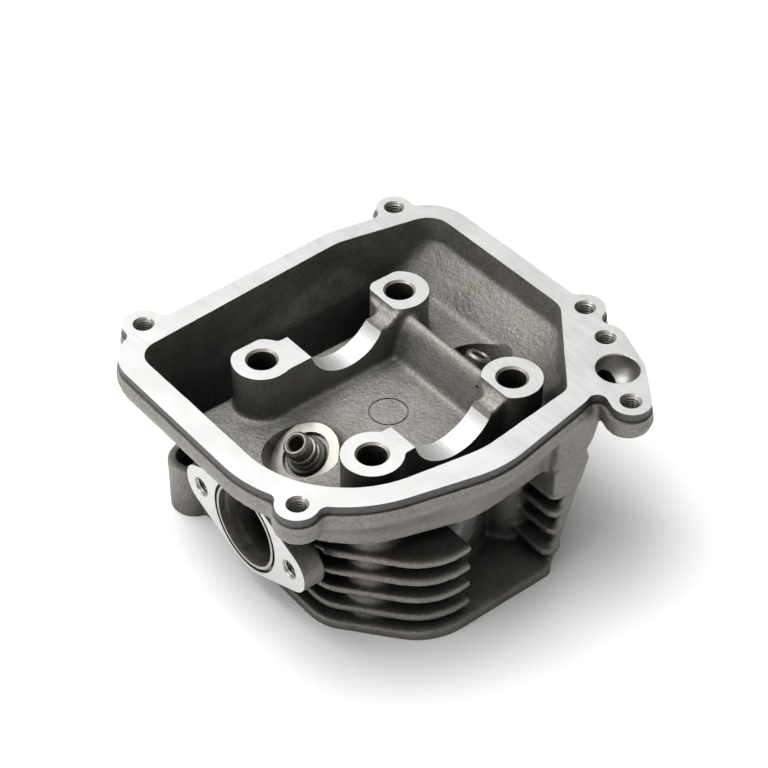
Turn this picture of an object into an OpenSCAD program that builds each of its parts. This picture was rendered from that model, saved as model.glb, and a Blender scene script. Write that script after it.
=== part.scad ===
// Bare cylinder head for a small air-cooled four-stroke engine.
// Millimetres.  The origin is the centre of the cylinder bore on the head-gasket face.
// +Z runs up to the valve-cover face, +X from the intake port to the exhaust port,
// +Y from the spark plug to the cam-chain tunnel.
// One aluminium casting, drawn as regions that meet face to face, with two pressed valve
// guides, their clips and two valve-seat rings.

/* [Cylinder and studs] */
// cylinder bore diameter
bore_d = 57.4; // [54:0.1:60]
// stud spacing, square pattern
stud_pitch = 54; // [53:0.5:55]
// stud clearance hole diameter
stud_hole_d = 9; // [8.4:0.1:9.4]
// combustion chamber depth at the centre
chamber_depth = 12; // [10:0.5:13]

/* [Heights above the gasket face] */
// gasket deck plate thickness
deck_t = 3; // [2.5:0.1:3.5]
// underside of the rocker floor
floor_under = 40; // [39:0.5:41]
// top of the rocker floor
floor_top = 45; // [44:0.5:46]
// machined tops of the stud towers
tower_top = 62; // [61:0.5:63]
// machined valve-cover face
rim_top = 66; // [65.5:0.1:67]
// valve-cover flange thickness
flange_t = 9.5; // [9:0.1:10]

/* [Cam bearings] */
// half-round radius on the chain side
saddle_chain_r = 15.2; // [14.5:0.1:15.6]
// half-round radius on the plug side
saddle_plug_r = 16; // [15:0.1:16.2]
// bearing width of each half round
saddle_w = 8; // [7:0.1:8.4]

/* [Valves] */
// intake valve lean from the bore axis
intake_tilt = 28.5; // [28:0.5:29]
// exhaust valve lean from the bore axis
exhaust_tilt = 30; // [29.5:0.5:30.5]
// valve stem hole in each guide
stem_d = 5; // [4.5:0.1:5.5]
// valve guide outer diameter
guide_d = 10; // [9.5:0.1:10.5]
// valve guide length
guide_l = 36; // [34:0.5:37]
// spring seat spot-face diameter
spring_seat_d = 21; // [20:0.5:21.5]

/* [Ports] */
// intake port diameter
intake_port_d = 22.5; // [21:0.5:23]
// intake flange bolt spacing
intake_bolt_pitch = 45; // [44:0.5:46]
// exhaust port diameter
exhaust_port_d = 22; // [20:0.5:23]
// exhaust flange stud spacing
exhaust_bolt_pitch = 44; // [43:0.5:46]

/* [Fins] */
// fin thickness
fin_t = 2.7; // [2.4:0.1:3]
// distance from one fin to the next
fin_pitch = 7.6; // [7.4:0.1:7.8]
// underside of the lowest fin
fin_first = 6.2; // [6:0.1:6.6]

/* [Hidden] */
$fn = 72;
// segments on the large outline arcs
outline_fn = 120;
eps = 0.05;
fin_count = 4;
s = stud_pitch / 2;
stud_r = stud_hole_d / 2;
tower_r = 9.5;
core_r = 33.5;
flange_under = rim_top - flange_t;
// tapped holes are drawn at their drilled size
m6_r = 2.6;
m8_r = 3.4;
m10_r = 4.6;
// straight face shared by the chain-side towers and the tunnel
tunnel_face = s + 8.2;
tunnel_wall = s + 5;
// cam axis lies in the valve-cover plane
cam_z = rim_top;
saddle_chain_y = 18.2;
saddle_plug_y = -32.7;
ledge_z = tower_top - 2;
ledge_x = 19.8;
// valve-cover bolts, then the pair beside the air port
cover_bolt_1 = [49.9, 58];
cover_bolt_2 = [-48.1, 59.5];
cover_bolt_3 = [-58.8, -33.3];
cover_bolt_4 = [63.4, -19.7];
air_bolt_1 = [58.4, -34.2];
air_bolt_2 = [44.1, -60.3];
air_port = (air_bolt_1 + air_bolt_2) / 2;
air_port_r = 6.7;
air_hole_r = 4;
air_top = [air_port[0] - 1, air_port[1] + 2, flange_under + 5];
air_end = [43, -12, 24];
// side bolt lugs outside the chain tunnel
lug_x = 44;
lug_y = 44;
lug_r = 8;
lug_top = 18;
side_hole_r = 3.3;
// seat centre of each valve
intake_seat = [-13, 1.2, 11];
exhaust_seat = [14, -2, 11];
intake_seat_r = 15;
exhaust_seat_r = 13;
intake_throat_r = 12.4;
intake_mouth_r = 13.3;
intake_groove_r = 15.4;
exhaust_mouth_r = 14;
exhaust_throat_r = 10.6;
seat_h = 6;
tip_h = 44.4;
seat_drop = 8;
// port centre lines
intake_mouth = [-55, 0, 28.3];
exhaust_mouth = [53, -2, 20];
bend_up = 6;
intake_bend = intake_seat + bend_up * [-sin(intake_tilt), 0, cos(intake_tilt)];
exhaust_bend = exhaust_seat + bend_up * [sin(exhaust_tilt), 0, cos(exhaust_tilt)];
port_flange_t = 8;
intake_body_r = 16.6;
exhaust_body_r = 15.5;
// spark plug, spot-face centre and outward direction
plug_face = [2.4, -27.5, 18.3];
plug_lean = 54;
plug_turn = -85;
plug_boss_r = 11;
plug_face_r = 8.5;
// open bay between the two plug-side fin stacks
plug_bay_left = 8.5;
plug_bay_right = 24;
// chamber sphere from the bore radius and depth
chamber_r = (pow(bore_d / 2, 2) + pow(chamber_depth, 2)) / (2 * chamber_depth);

module cast_metal() color([0.62, 0.60, 0.57]) children();
module machined_metal() color([0.83, 0.83, 0.82]) children();
module guide_metal() color([0.45, 0.42, 0.38]) children();
module steel() color([0.5, 0.5, 0.52]) children();

// a straight round bar from one point to another
module rod(from, to, r) {
  d = to - from;
  h = norm(d);
  translate(from)
    rotate([0, acos(d[2] / h), atan2(d[1], d[0])])
      cylinder(h = h, r = r);
}

module corner(x, y, r) translate([x, y]) circle(r, $fn = outline_fn);

module at_intake(up = 0)
  translate(intake_seat) rotate([0, -intake_tilt, 0]) translate([0, 0, up]) children();

module at_exhaust(up = 0)
  translate(exhaust_seat) rotate([0, exhaust_tilt, 0]) translate([0, 0, up]) children();

module at_plug(out = 0)
  translate(plug_face) rotate([0, plug_lean, plug_turn]) translate([0, 0, out]) children();

module stud_holes()
  for (x = [-s, s])
    for (y = [-s, s])
      translate([x, y, -1]) cylinder(h = rim_top + 2, r = stud_r);

module tower_blanks()
  for (x = [-s, s])
    for (y = [-s, s])
      translate([x, y, 0]) cylinder(h = tower_top, r = tower_r);

// ---- outlines ----

module deck_outline() hull() {
  corner(-34.2, -20, 15.8);
  corner(-13, -30.4, 22.6);
  corner(21.5, -49, 4);
  corner(42, -18, 8);
  corner(43, 45, 7);
  corner(-43, 45, 7);
}

module floor_outline() hull() {
  corner(-44, 44, 6);
  corner(36, 41, 10);
  corner(38, -12, 8);
  corner(28, -37, 6);
  corner(-2, -18, 27.5);
  corner(-18, -8, 32);
}

module rim_inner() hull() {
  corner(-50.5, 43, 7);
  corner(22, 38, 16.4);
  corner(49.5, 40, 8.5);
  corner(50, -11.5, 8);
  corner(30.5, -40, 5);
  corner(-2, -18, 30.3);
  corner(-20.7, -8, 37);
}

module rim_body() hull() {
  corner(-50.5, 43, 15);
  corner(22, 38, 22.6);
  corner(49.5, 40, 15.5);
  corner(50, -11.5, 15);
  corner(30.5, -40, 12.5);
  corner(-2, -18, 39.5);
  corner(-21.7, -8, 44.2);
}

module air_lobe() hull() {
  translate(air_bolt_1) circle(6.3);
  translate(air_bolt_2) circle(6.3);
  translate(air_port) circle(8.5);
}

module rim_outline() offset(r = -3) offset(delta = 3) {
  rim_body();
  translate(cover_bolt_1) circle(6);
  translate(cover_bolt_2) circle(6.7);
  translate(cover_bolt_3) circle(6.6);
  translate(cover_bolt_4) circle(6.5);
  air_lobe();
}

// ---- hollows ----

module chamber()
  translate([0, 0, chamber_depth - chamber_r]) sphere(chamber_r, $fn = 96);

module rocker_cavity() hull() {
  translate([0, 0, floor_top]) linear_extrude(eps) floor_outline();
  translate([0, 0, flange_under]) linear_extrude(eps) rim_inner();
}

module tunnel_hollow() hull() {
  translate([-33, tunnel_face, -1]) cube([66, 48.5 - tunnel_face, eps]);
  translate([-48, tunnel_face, floor_top]) cube([92, 49.5 - tunnel_face, eps]);
}

module intake_way() {
  rod(intake_mouth + [5, 0, 0], intake_bend, intake_port_d / 2);
  translate(intake_mouth - [1, 0, 0]) rotate([0, 90, 0]) cylinder(h = 6, r = intake_mouth_r);
  translate(intake_bend) sphere(intake_throat_r + 0.4);
  at_intake(-0.5) cylinder(h = bend_up + 0.5, r = intake_throat_r);
}

module exhaust_way() {
  rod(exhaust_mouth + [1, 0, 0], exhaust_bend, exhaust_port_d / 2);
  translate(exhaust_bend) sphere(exhaust_port_d / 2 + 0.4);
  at_exhaust(-0.5) cylinder(h = bend_up + 0.5, r = exhaust_throat_r);
}

module seat_pockets() {
  at_intake(-14) cylinder(h = 14 + seat_h, r = intake_seat_r);
  at_exhaust(-14) cylinder(h = 14 + seat_h, r = exhaust_seat_r);
}

// guide bore, spring seat and the sunk ring round each guide
module guide_pocket() {
  cylinder(h = tip_h, r = guide_d / 2);
  translate([0, 0, tip_h - seat_drop]) cylinder(h = 26, r = spring_seat_d / 2);
  translate([0, 0, tip_h - seat_drop - 1.6]) cylinder(h = 2, r = 7.8);
}

module guide_pockets() {
  at_intake() guide_pocket();
  at_exhaust() guide_pocket();
}

module plug_hole() at_plug(-26) cylinder(h = 27, r = m10_r);

module air_way() rod(air_top, air_end - [4, 0, 3], air_hole_r);

module port_outline(bolt_pitch, body_r) hull() {
  circle(body_r);
  translate([0, bolt_pitch / 2]) circle(7.6);
  translate([0, -bolt_pitch / 2]) circle(7.6);
}

module intake_flange_blank()
  translate(intake_mouth) rotate([0, 90, 0])
    linear_extrude(port_flange_t) port_outline(intake_bolt_pitch, intake_body_r);

module exhaust_flange_blank()
  translate(exhaust_mouth) rotate([0, -90, 0])
    linear_extrude(port_flange_t) port_outline(exhaust_bolt_pitch, exhaust_body_r + 1);

module intake_body() {
  intake_flange_blank();
  rod(intake_mouth + [4.6, 0, 0], intake_bend, intake_body_r - 1.3);
}

module exhaust_body() {
  exhaust_flange_blank();
  rod(exhaust_mouth - [2, 0, 0], exhaust_bend, exhaust_body_r);
}

module core_blank() cylinder(h = floor_under, r = core_r);

// ---- lower casting ----

// everything on the chain side of the shared tunnel wall belongs to the chain tunnel
module chain_side() translate([-80, tunnel_wall]) square([160, 60]);

module gasket_deck() cast_metal() difference() {
  linear_extrude(deck_t) difference() {
    deck_outline();
    chain_side();
  }
  stud_holes();
  chamber();
  seat_pockets();
}

module chamber_core() cast_metal() difference() {
  translate([0, 0, deck_t]) cylinder(h = floor_under - deck_t, r = core_r);
  translate([-40, tunnel_wall, 0]) cube([80, 10, 60]);
  chamber();
  seat_pockets();
  intake_way();
  exhaust_way();
  guide_pockets();
  at_plug(-24) cylinder(h = 64, r = plug_boss_r);
}

module plug_boss() cast_metal() difference() {
  at_plug(-24) cylinder(h = 24, r = plug_boss_r);
  translate([-60, -60, -20]) cube([120, 120, 20 + deck_t]);
  chamber();
  seat_pockets();
  plug_hole();
  intake_way();
  exhaust_way();
}

module intake_port() cast_metal() difference() {
  intake_body();
  core_blank();
  intake_way();
  guide_pockets();
  // gasket-ring groove round the mouth
  translate(intake_mouth - [1, 0, 0]) rotate([0, 90, 0]) cylinder(h = 2.2, r = intake_groove_r);
  for (y = [-intake_bolt_pitch / 2, intake_bolt_pitch / 2])
    translate(intake_mouth + [-1, y, 0]) rotate([0, 90, 0]) cylinder(h = 12, r = m6_r);
}

module exhaust_port() cast_metal() difference() {
  exhaust_body();
  core_blank();
  exhaust_way();
  guide_pockets();
  air_way();
  translate(exhaust_mouth + [1, 0, 0]) rotate([0, -90, 0]) cylinder(h = 4.5, r = exhaust_mouth_r);
  for (y = [-exhaust_bolt_pitch / 2, exhaust_bolt_pitch / 2])
    translate(exhaust_mouth + [1, y, 0]) rotate([0, -90, 0]) cylinder(h = 12, r = m8_r);
}

module fin_levels()
  for (i = [0 : fin_count - 1])
    translate([0, 0, fin_first + i * fin_pitch]) linear_extrude(fin_t) children();

module fin_outline() offset(delta = -1.6) deck_outline();

module stud_column(x, y) translate([x, y, deck_t])
  cylinder(h = floor_under - deck_t, r = tower_r);

// everything the fin stacks have to leave free
module fin_clearance() {
  core_blank();
  intake_body();
  exhaust_body();
  intake_way();
  exhaust_way();
  stud_holes();
  guide_pockets();
  at_plug(-2) cylinder(h = 60, r = plug_boss_r);
}

module fins_intake_plug() cast_metal() difference() {
  union() {
    stud_column(-s, -s);
    fin_levels() intersection() {
      fin_outline();
      translate([-60, -60]) square([60 - plug_bay_left, 60]);
    }
  }
  fin_clearance();
}

module fins_intake_chain() cast_metal() difference() {
  union() {
    stud_column(-s, s);
    fin_levels() intersection() {
      fin_outline();
      translate([-60, 0]) square([60, tunnel_wall]);
    }
  }
  translate([-60, tunnel_wall, 0]) cube([120, 30, 60]);
  side_lugs();
  fin_clearance();
}

module fins_exhaust_chain() cast_metal() difference() {
  union() {
    stud_column(s, s);
    fin_levels() intersection() {
      fin_outline();
      translate([0, 0]) square([60, tunnel_wall]);
    }
  }
  translate([-60, tunnel_wall, 0]) cube([120, 30, 60]);
  side_lugs();
  fin_clearance();
}

// the plug-side corner leans outward as it rises
module leaning_fin(i) hull() {
  corner(plug_bay_right + 3, -48.5, 3);
  corner(22.5 + 0.34 * (fin_first + i * fin_pitch), -48.5, 3);
  corner(43, -18, 6.5);
  translate([plug_bay_right, -2]) square([25.5, 2]);
}

module end_wall() hull() {
  translate([plug_bay_right, -51.5, deck_t]) cube([2, 2.4, eps]);
  translate([plug_bay_right, -51.5, 31]) cube([11.5, 2.4, eps]);
}

module corner_mass() hull() {
  translate([plug_bay_right, -51.5, 31.7]) cube([11.5, 22, eps]);
  translate([plug_bay_right, -51.5, floor_under - eps]) cube([14.5, 22, eps]);
}

module fins_exhaust_plug() cast_metal() difference() {
  union() {
    stud_column(s, -s);
    for (i = [0 : fin_count - 1])
      translate([0, 0, fin_first + i * fin_pitch]) linear_extrude(fin_t) leaning_fin(i);
    end_wall();
    corner_mass();
  }
  air_tube();
  core_blank();
  exhaust_body();
  exhaust_way();
  stud_holes();
  guide_pockets();
}

module side_lugs()
  for (x = [-lug_x, lug_x])
    translate([x, lug_y, deck_t]) cylinder(h = lug_top - deck_t, r = lug_r);

module chain_tunnel() cast_metal() difference() {
  union() {
    hull() {
      translate([-38, tunnel_wall, deck_t]) cube([76, 52 - tunnel_wall, eps]);
      translate([-52, tunnel_wall, floor_under - eps]) cube([100, 54 - tunnel_wall, eps]);
    }
    side_lugs();
    linear_extrude(deck_t) intersection() {
      deck_outline();
      chain_side();
    }
    translate([0, 0, floor_under]) linear_extrude(floor_top - floor_under) intersection() {
      floor_plan();
      chain_side();
    }
  }
  tunnel_hollow();
  for (x = [-lug_x, lug_x])
    translate([x, lug_y, -1]) cylinder(h = 31, r = side_hole_r);
}

// ---- rocker box ----

module floor_plan() {
  offset(r = 4) floor_outline();
  hull() {
    corner(plug_bay_right + 3, -48.5, 3);
    corner(35.5, -48.5, 3);
    corner(40, -30, 6);
  }
}

module air_tube() difference() {
  rod(air_top, air_end, 7.5);
  translate([0, -70, flange_under]) cube([80, 80, 20]);
}

// room for the spark plug and its wrench under the rocker box
module plug_reach() at_plug() cylinder(h = 60, r = 7.5);

module rocker_floor() cast_metal() difference() {
  translate([0, 0, floor_under]) linear_extrude(floor_top - floor_under) difference() {
    floor_plan();
    chain_side();
  }
  stud_holes();
  guide_pockets();
  intake_body();
  intake_way();
  air_tube();
  plug_reach();
}

module rocker_wall() cast_metal() difference() {
  union() {
    hull() {
      translate([0, 0, floor_top]) linear_extrude(eps) offset(r = 4) floor_outline();
      translate([0, 0, flange_under - eps]) linear_extrude(eps) offset(r = 3.6) rim_inner();
    }
    hull() {
      translate([plug_bay_right, -51.5, floor_top]) cube([15, 18, eps]);
      translate([plug_bay_right, -52.5, flange_under - eps]) cube([17.5, 20, eps]);
    }
  }
  rocker_cavity();
  tower_blanks();
  guide_pockets();
  air_tube();
}

module cover_flange() cast_metal() difference() {
  translate([0, 0, flange_under]) {
    linear_extrude(flange_t) rim_outline();
    linear_extrude(flange_t - 3) offset(r = 1) rim_outline();
  }
  translate([0, 0, flange_under - 1]) linear_extrude(flange_t + 2) rim_inner();
  for (p = [cover_bolt_1, cover_bolt_2, cover_bolt_3, cover_bolt_4, air_bolt_1, air_bolt_2]) {
    translate([p[0], p[1], flange_under - 1]) cylinder(h = flange_t + 2, r = m6_r);
    translate([p[0], p[1], rim_top - 0.7]) cylinder(h = 0.8, r1 = m6_r, r2 = m6_r + 0.8);
  }
  translate([air_port[0], air_port[1], rim_top - 5]) cylinder(h = 6, r = air_port_r);
  air_way();
}

module air_passage() cast_metal() difference() {
  air_tube();
  air_way();
  rocker_cavity();
  exhaust_body();
  stud_holes();
}

// ---- stud towers, cam saddles and web ----

module tower(x, y) translate([x, y, 0]) difference() {
  translate([0, 0, floor_top]) cylinder(h = tower_top - floor_top, r = tower_r);
  cylinder(h = tower_top + 1, r = stud_r);
  translate([0, 0, tower_top - 0.7]) cylinder(h = 0.8, r1 = stud_r, r2 = stud_r + 0.8);
}

module tunnel_cut() translate([-60, tunnel_face, 0]) cube([120, 20, rim_top]);

module ledge_cut() translate([0, -60, ledge_z]) cube([ledge_x, 120, 10]);

module tower_intake_chain() cast_metal() difference() {
  tower(-s, s);
  tunnel_cut();
  guide_pockets();
}

module tower_exhaust_chain() cast_metal() difference() {
  tower(s, s);
  tunnel_cut();
  ledge_cut();
}

module tower_exhaust_plug() cast_metal() difference() {
  tower(s, -s);
  ledge_cut();
}

module tower_intake_plug() cast_metal() difference() {
  tower(-s, -s);
  guide_pockets();
}

module saddle(y, r, tab_y) difference() {
  union() {
    translate([-s, y, floor_top]) cube([2 * s, saddle_w, tower_top - floor_top]);
    translate([-s, tab_y, tower_top - 6]) cube([14, 8.6, 6]);
  }
  tower_blanks();
  ledge_cut();
  translate([0, y - 10, cam_z]) rotate([-90, 0, 0]) cylinder(h = 40, r = r);
}

module saddle_chain() cast_metal() saddle(saddle_chain_y, saddle_chain_r, s - 5);

module saddle_plug() cast_metal() saddle(saddle_plug_y, saddle_plug_r, 1 - s - 4);

module tower_web() cast_metal() difference() {
  translate([0, saddle_chain_y, 0]) rotate([90, 0, 0])
    linear_extrude(saddle_chain_y - saddle_plug_y - saddle_w)
      polygon([[17.5, floor_top], [21.2, 56.8], [22.4, 58.5], [24, 59], [25.2, 58.3],
        [27.5, floor_top]]);
  tower_blanks();
  guide_pockets();
}

// ---- pressed-in pieces ----

module guide_shape(h0) rotate_extrude() polygon([
  [stem_d / 2, h0],
  [guide_d / 2, h0],
  [guide_d / 2, tip_h - 7],
  [guide_d / 2 - 0.9, tip_h - 7],
  [guide_d / 2 - 0.9, tip_h - 5.6],
  [guide_d / 2 - 0.4, tip_h - 5.6],
  [guide_d / 2 - 0.4, tip_h - 4.4],
  [guide_d / 2 - 0.8, tip_h - 4],
  [guide_d / 2 - 0.8, tip_h - 0.9],
  [guide_d / 2 - 1.6, tip_h],
  [stem_d / 2, tip_h]]);

module intake_guide() guide_metal() at_intake() guide_shape(tip_h - guide_l);

module exhaust_guide() guide_metal() at_exhaust() guide_shape(tip_h - guide_l);

module guide_clip() translate([0, 0, tip_h - seat_drop - 1.6]) difference() {
  cylinder(h = 1.6, r = guide_d / 2 + 1.3);
  translate([0, 0, -1]) cylinder(h = 4, r = guide_d / 2);
}

module intake_guide_clip() steel() at_intake() guide_clip();

module exhaust_guide_clip() steel() at_exhaust() guide_clip();

module seat_ring(outer_r, inner_r) difference() {
  cylinder(h = seat_h, r = outer_r);
  translate([0, 0, -1]) cylinder(h = seat_h + 2, r = inner_r);
  translate([0, 0, -0.1]) cylinder(h = 1.5, r1 = inner_r + 1.5, r2 = inner_r);
}

module intake_seat_ring() steel() difference() {
  at_intake() seat_ring(intake_seat_r, intake_throat_r);
  chamber();
}

module exhaust_seat_ring() steel() difference() {
  at_exhaust() seat_ring(exhaust_seat_r, exhaust_throat_r);
  chamber();
}

gasket_deck();
chamber_core();
plug_boss();
intake_port();
exhaust_port();
fins_intake_plug();
fins_exhaust_plug();
fins_intake_chain();
fins_exhaust_chain();
chain_tunnel();
rocker_floor();
rocker_wall();
cover_flange();
air_passage();
tower_intake_chain();
tower_exhaust_chain();
tower_exhaust_plug();
tower_intake_plug();
saddle_chain();
saddle_plug();
tower_web();
intake_guide();
exhaust_guide();
intake_guide_clip();
exhaust_guide_clip();
intake_seat_ring();
exhaust_seat_ring();
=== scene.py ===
"""Looks of a bare cylinder head: cast aluminium with milled faces, tapped holes and pressed-in valve guides.

The casting is built in millimetres round the dimensions of the CAD part, with metal left on for machining. It
is fused, given its cast fillets by a voxel remesh and smoothing, machined with exact cutters, and then parted
along the CAD regions.
"""

import math

import bmesh
import bpy
import numpy as np
from mathutils import Matrix, Vector


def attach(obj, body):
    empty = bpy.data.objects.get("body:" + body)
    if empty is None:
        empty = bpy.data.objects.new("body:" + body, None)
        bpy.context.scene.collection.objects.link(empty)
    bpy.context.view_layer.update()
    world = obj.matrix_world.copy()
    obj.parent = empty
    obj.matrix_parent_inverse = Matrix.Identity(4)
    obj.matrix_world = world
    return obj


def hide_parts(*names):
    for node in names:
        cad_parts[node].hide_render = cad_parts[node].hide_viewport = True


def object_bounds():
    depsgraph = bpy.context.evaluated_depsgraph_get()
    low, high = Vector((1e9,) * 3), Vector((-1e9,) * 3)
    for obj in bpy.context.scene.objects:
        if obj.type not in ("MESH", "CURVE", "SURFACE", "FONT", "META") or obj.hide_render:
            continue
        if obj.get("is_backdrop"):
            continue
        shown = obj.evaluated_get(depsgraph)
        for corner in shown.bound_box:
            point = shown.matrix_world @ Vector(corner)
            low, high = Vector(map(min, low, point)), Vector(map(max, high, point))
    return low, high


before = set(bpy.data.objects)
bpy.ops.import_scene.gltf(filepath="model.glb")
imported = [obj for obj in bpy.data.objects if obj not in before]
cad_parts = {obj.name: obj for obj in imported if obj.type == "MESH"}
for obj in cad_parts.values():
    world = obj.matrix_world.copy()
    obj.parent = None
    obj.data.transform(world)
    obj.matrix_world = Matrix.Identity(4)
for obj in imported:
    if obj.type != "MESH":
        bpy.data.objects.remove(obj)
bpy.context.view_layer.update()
scene = bpy.context.scene
MM = 0.001

# ---------------------------------------------------------------- dimensions, mm

STUD = 27.0                           # half of the square stud pitch
STUD_R = 4.5
TOWER_R = 9.5
DECK_T = 3.0
ALLOW = 1.6                           # metal left on a cast face for machining
FLOOR_UNDER, FLOOR_TOP = 40.0, 45.0
TOWER_TOP = 62.0
RIM_TOP, FLANGE_UNDER = 66.0, 56.5
CORE_R = 33.5
TUNNEL_FACE, TUNNEL_WALL = 35.2, 32.0
SADDLE_CHAIN = (18.2, 26.2, 15.2)     # from y, to y, radius
SADDLE_PLUG = (-32.7, -24.7, 16.0)
COVER_BOLTS = [(49.9, 58.0), (-48.1, 59.5), (-58.8, -33.3), (63.4, -19.7)]
AIR_BOLTS = [(58.4, -34.2), (44.1, -60.3)]
AIR_PORT = (51.25, -47.25)
AIR_TUBE_TOP = Vector((50.25, -45.25, 61.5))
BORE_R, CHAMBER_DEPTH = 28.7, 12.0
CHAMBER_R = (BORE_R ** 2 + CHAMBER_DEPTH ** 2) / (2 * CHAMBER_DEPTH)
INTAKE_SEAT, INTAKE_TILT = Vector((-13, 1.2, 11)), 28.5
EXHAUST_SEAT, EXHAUST_TILT = Vector((14, -2, 11)), 30.0
INTAKE_MOUTH = Vector((-55, 0, 28.3))
EXHAUST_MOUTH = Vector((53, -2, 20))
INTAKE_BOLT, EXHAUST_BOLT = 22.5, 22  # from the middle of a port to its two bolts
PLUG_FACE = Vector((2.4, -27.5, 18.3))
PLUG_LEAN, PLUG_TURN = math.radians(54), math.radians(-85)
PLUG_OUT = Vector((math.sin(PLUG_LEAN) * math.cos(PLUG_TURN), math.sin(PLUG_LEAN) * math.sin(PLUG_TURN),
                   math.cos(PLUG_LEAN)))
PLUG_BOSS_R, PLUG_SPOT_R = 11, 8.5
TIP_H, SEAT_DROP = 44.4, 8.0          # guide tip above the valve seat, spring seat below the tip
SPRING_R = 11.5
LUG = (44.0, 44.0)
LUG_R = 8
FIN_FIRST, FIN_PITCH, FIN_T = 6.2, 7.6, 2.7
M6, M8, M10_FINE = (2.6, 3.05, 1.0), (3.4, 4.0, 1.25), (4.6, 5.05, 1.0)     # minor and major radius, pitch
INTAKE_UP = Vector((-math.sin(math.radians(INTAKE_TILT)), 0, math.cos(math.radians(INTAKE_TILT))))
EXHAUST_UP = Vector((math.sin(math.radians(EXHAUST_TILT)), 0, math.cos(math.radians(EXHAUST_TILT))))
INTAKE_BEND = INTAKE_SEAT + 6 * INTAKE_UP
EXHAUST_BEND = EXHAUST_SEAT + 6 * EXHAUST_UP

# ---------------------------------------------------------------- mesh helpers, all in mm


def linked(name, data):
    o = bpy.data.objects.new(name, data)
    scene.collection.objects.link(o)
    return o


def make(name, verts, faces):
    me = bpy.data.meshes.new(name)
    me.from_pydata([tuple(v) for v in verts], [], faces)
    me.update()
    return linked(name, me)


def outward(o):
    """Turns the faces of a closed mesh outwards."""
    bm = bmesh.new()
    bm.from_mesh(o.data)
    bmesh.ops.recalc_face_normals(bm, faces=bm.faces)
    bm.to_mesh(o.data)
    bm.free()
    return o


def drop(o):
    me = o.data
    bpy.data.objects.remove(o)
    bpy.data.meshes.remove(me)


def ring(x, y, r, n=96):
    t = np.linspace(0, 2 * np.pi, n, endpoint=False)
    return np.c_[x + r * np.cos(t), y + r * np.sin(t)]


def hull2(points):
    """Counter-clockwise convex hull of 2-D points."""
    pts = sorted({(round(float(x), 6), round(float(y), 6)) for x, y in points})

    def half(seq):
        out = []
        for p in seq:
            while len(out) > 1 and ((out[-1][0] - out[-2][0]) * (p[1] - out[-2][1])
                                    - (out[-1][1] - out[-2][1]) * (p[0] - out[-2][0])) <= 1e-9:
                out.pop()
            out.append(p)
        return out
    low, up = half(pts), half(pts[::-1])
    return np.array(low[:-1] + up[:-1])


def outline(*circles, grow=0.0):
    return hull2(np.vstack([ring(x, y, r + grow) for x, y, r in circles]))


def prism(poly, z0, z1, name="prism"):
    n = len(poly)
    verts = [(x, y, z0) for x, y in poly] + [(x, y, z1) for x, y in poly]
    faces = [tuple(range(n))[::-1], tuple(range(n, 2 * n))]
    faces += [(i, (i + 1) % n, n + (i + 1) % n, n + i) for i in range(n)]
    return make(name, verts, faces)


def block(x0, y0, z0, x1, y1, z1):
    return prism([(x0, y0), (x1, y0), (x1, y1), (x0, y1)], z0, z1, "block")


def hull3(*parts):
    """Convex solid round lists of 3-D points."""
    bm = bmesh.new()
    for p in np.vstack([np.asarray(q, float) for q in parts]):
        bm.verts.new(p)
    got = bmesh.ops.convex_hull(bm, input=bm.verts)
    spare = set(got["geom_interior"]) | set(got["geom_unused"])
    bmesh.ops.delete(bm, geom=[g for g in spare if isinstance(g, bmesh.types.BMVert)], context="VERTS")
    bmesh.ops.recalc_face_normals(bm, faces=bm.faces)
    me = bpy.data.meshes.new("hull")
    bm.to_mesh(me)
    bm.free()
    return linked("hull", me)


def at_z(poly, z):
    """2-D points lifted to a height."""
    return np.c_[poly, np.full(len(poly), float(z))]


def axes_of(d):
    d = Vector(d).normalized()
    a = d.cross(Vector((0, 0, 1)) if abs(d.z) < 0.9 else Vector((1, 0, 0))).normalized()
    return a, d.cross(a).normalized(), d


def lathe(base, axis, profile, n=72, name="lathe", tube=False):
    """Solid turned round an axis from (radius, height) points, bottom up, or in a closed loop for a tube."""
    a, b, d = axes_of(axis)
    base = Vector(base)
    verts, faces, rows = [], [], []
    for r, h in profile:
        if r < 1e-6:
            rows.append([len(verts)])
            verts.append(base + d * h)
        else:
            rows.append(list(range(len(verts), len(verts) + n)))
            for i in range(n):
                t = 2 * math.pi * i / n
                verts.append(base + d * h + (a * math.cos(t) + b * math.sin(t)) * r)
    for lo, hi in zip(rows, rows[1:] + rows[:1] * tube):
        for i in range(n):
            j = (i + 1) % n
            if len(lo) == 1 and len(hi) > 1:
                faces.append((lo[0], hi[j], hi[i]))
            elif len(hi) == 1 and len(lo) > 1:
                faces.append((lo[i], lo[j], hi[0]))
            elif len(lo) > 1:
                faces.append((lo[i], lo[j], hi[j], hi[i]))
    return outward(make(name, verts, faces))


def cyl(p0, p1, r0, r1=None, n=72):
    d = Vector(p1) - Vector(p0)
    r1 = r0 if r1 is None else r1
    return lathe(p0, d, [(0, 0), (r0, 0), (r1, d.length), (0, d.length)], n)


def ball(c, r, n=48):
    prof = [(r * math.sin(math.pi * k / n), -r * math.cos(math.pi * k / n)) for k in range(n + 1)]
    prof[0], prof[-1] = (0, -r), (0, r)
    return lathe(c, (0, 0, 1), prof, 2 * n)


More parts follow.
